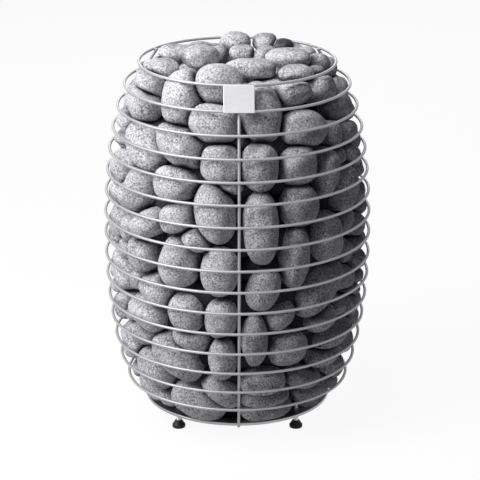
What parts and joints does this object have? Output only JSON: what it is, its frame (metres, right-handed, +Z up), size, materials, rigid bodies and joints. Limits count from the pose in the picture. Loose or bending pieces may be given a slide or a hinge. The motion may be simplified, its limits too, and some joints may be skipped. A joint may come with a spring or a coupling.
{
  "type": "sauna heater stove",
  "caption": "Barrel-shaped sauna heater: an open cage of level wire rings filled and heaped with rounded stones around electric heating elements, on levelling feet.",
  "frame": {"origin": "on the floor under the middle of the cage, level with the undersides of the feet", "axes": "+Z up, the front with its plate faces -Y, +X to the right of someone facing the front"},
  "size_m": [0.42, 0.42, 0.601],
  "materials": {
    "cage_steel": "satin",
    "plate_steel": "fine brushed",
    "base_steel": "satin",
    "element_steel": "heat-darkened",
    "zinc": "zinc plated",
    "black_plastic": "moulded",
    "porcelain": "unglazed",
    "stone": "rounded, speckled and pitted"
  },
  "bodies": {
    "stove": {"ring_01": "cage_steel", "ring_02": "cage_steel", "ring_03": "cage_steel", "ring_04": "cage_steel", "ring_05": "cage_steel", "ring_06": "cage_steel", "ring_07": "cage_steel", "ring_08": "cage_steel", "ring_09": "cage_steel", "ring_10": "cage_steel", "ring_11": "cage_steel", "ring_12": "cage_steel", "ring_13": "cage_steel", "ring_14": "cage_steel", "ring_15": "cage_steel", "ring_16": "cage_steel", "upright_front": "cage_steel", "upright_right": "cage_steel", "upright_left": "cage_steel", "front_plate": "plate_steel", "base_plate": "base_steel", "foot_nut_front_left": "zinc", "foot_nut_front_right": "zinc", "foot_nut_rear_right": "zinc", "foot_nut_rear_left": "zinc", "heating_element_left": "element_steel", "heating_element_middle": "element_steel", "heating_element_right": "element_steel", "element_clamp": "element_steel", "terminal_box": "base_steel", "box_cover": "base_steel", "terminal_block": "porcelain", "cable_gland": "black_plastic", "stone_course_1": "stone", "stone_course_2": "stone", "stone_course_3": "stone", "stone_course_4": "stone", "stone_course_5": "stone", "stone_course_6": "stone", "stone_course_7": "stone", "stone_course_8": "stone"},
    "foot_front_left": {"foot_pad_front_left": "black_plastic", "foot_stud_front_left": "zinc"},
    "foot_front_right": {"foot_pad_front_right": "black_plastic", "foot_stud_front_right": "zinc"},
    "foot_rear_right": {"foot_pad_rear_right": "black_plastic", "foot_stud_rear_right": "zinc"},
    "foot_rear_left": {"foot_pad_rear_left": "black_plastic", "foot_stud_rear_left": "zinc"},
    "crown_stone_back": {"crown_stone_back": "stone"},
    "crown_stone_back_right": {"crown_stone_back_right": "stone"},
    "crown_stone_middle": {"crown_stone_middle": "stone"},
    "crown_stone_right": {"crown_stone_right": "stone"},
    "crown_stone_centre": {"crown_stone_centre": "stone"},
    "crown_stone_front_right": {"crown_stone_front_right": "stone"},
    "crown_stone_front": {"crown_stone_front": "stone"},
    "crown_stone_left": {"crown_stone_left": "stone"},
    "crown_stone_back_left": {"crown_stone_back_left": "stone"},
    "crown_stone_middle_left": {"crown_stone_middle_left": "stone"}
  },
  "joints": [
    {"name": "foot_front_left_height", "type": "slide", "parent": "stove", "child": "foot_front_left", "axis": [0, 0, -1], "range_m": [0, 0.008]},
    {"name": "foot_front_right_height", "type": "slide", "parent": "stove", "child": "foot_front_right", "axis": [0, 0, -1], "range_m": [0, 0.008]},
    {"name": "foot_rear_right_height", "type": "slide", "parent": "stove", "child": "foot_rear_right", "axis": [0, 0, -1], "range_m": [0, 0.008]},
    {"name": "foot_rear_left_height", "type": "slide", "parent": "stove", "child": "foot_rear_left", "axis": [0, 0, -1], "range_m": [0, 0.008]},
    {"name": "crown_stone_back_lift", "type": "slide", "parent": "stove", "child": "crown_stone_back", "axis": [0, 0, 1], "range_m": [0, 0.12]},
    {"name": "crown_stone_back_right_lift", "type": "slide", "parent": "stove", "child": "crown_stone_back_right", "axis": [0, 0, 1], "range_m": [0, 0.12]},
    {"name": "crown_stone_middle_lift", "type": "slide", "parent": "stove", "child": "crown_stone_middle", "axis": [0, 0, 1], "range_m": [0, 0.12]},
    {"name": "crown_stone_right_lift", "type": "slide", "parent": "stove", "child": "crown_stone_right", "axis": [0, 0, 1], "range_m": [0, 0.12]},
    {"name": "crown_stone_centre_lift", "type": "slide", "parent": "stove", "child": "crown_stone_centre", "axis": [0, 0, 1], "range_m": [0, 0.12]},
    {"name": "crown_stone_front_right_lift", "type": "slide", "parent": "stove", "child": "crown_stone_front_right", "axis": [0, 0, 1], "range_m": [0, 0.12]},
    {"name": "crown_stone_front_lift", "type": "slide", "parent": "stove", "child": "crown_stone_front", "axis": [0, 0, 1], "range_m": [0, 0.12]},
    {"name": "crown_stone_left_lift", "type": "slide", "parent": "stove", "child": "crown_stone_left", "axis": [0, 0, 1], "range_m": [0, 0.12]},
    {"name": "crown_stone_back_left_lift", "type": "slide", "parent": "stove", "child": "crown_stone_back_left", "axis": [0, 0, 1], "range_m": [0, 0.12]},
    {"name": "crown_stone_middle_left_lift", "type": "slide", "parent": "stove", "child": "crown_stone_middle_left", "axis": [0, 0, 1], "range_m": [0, 0.12]}
  ]
}
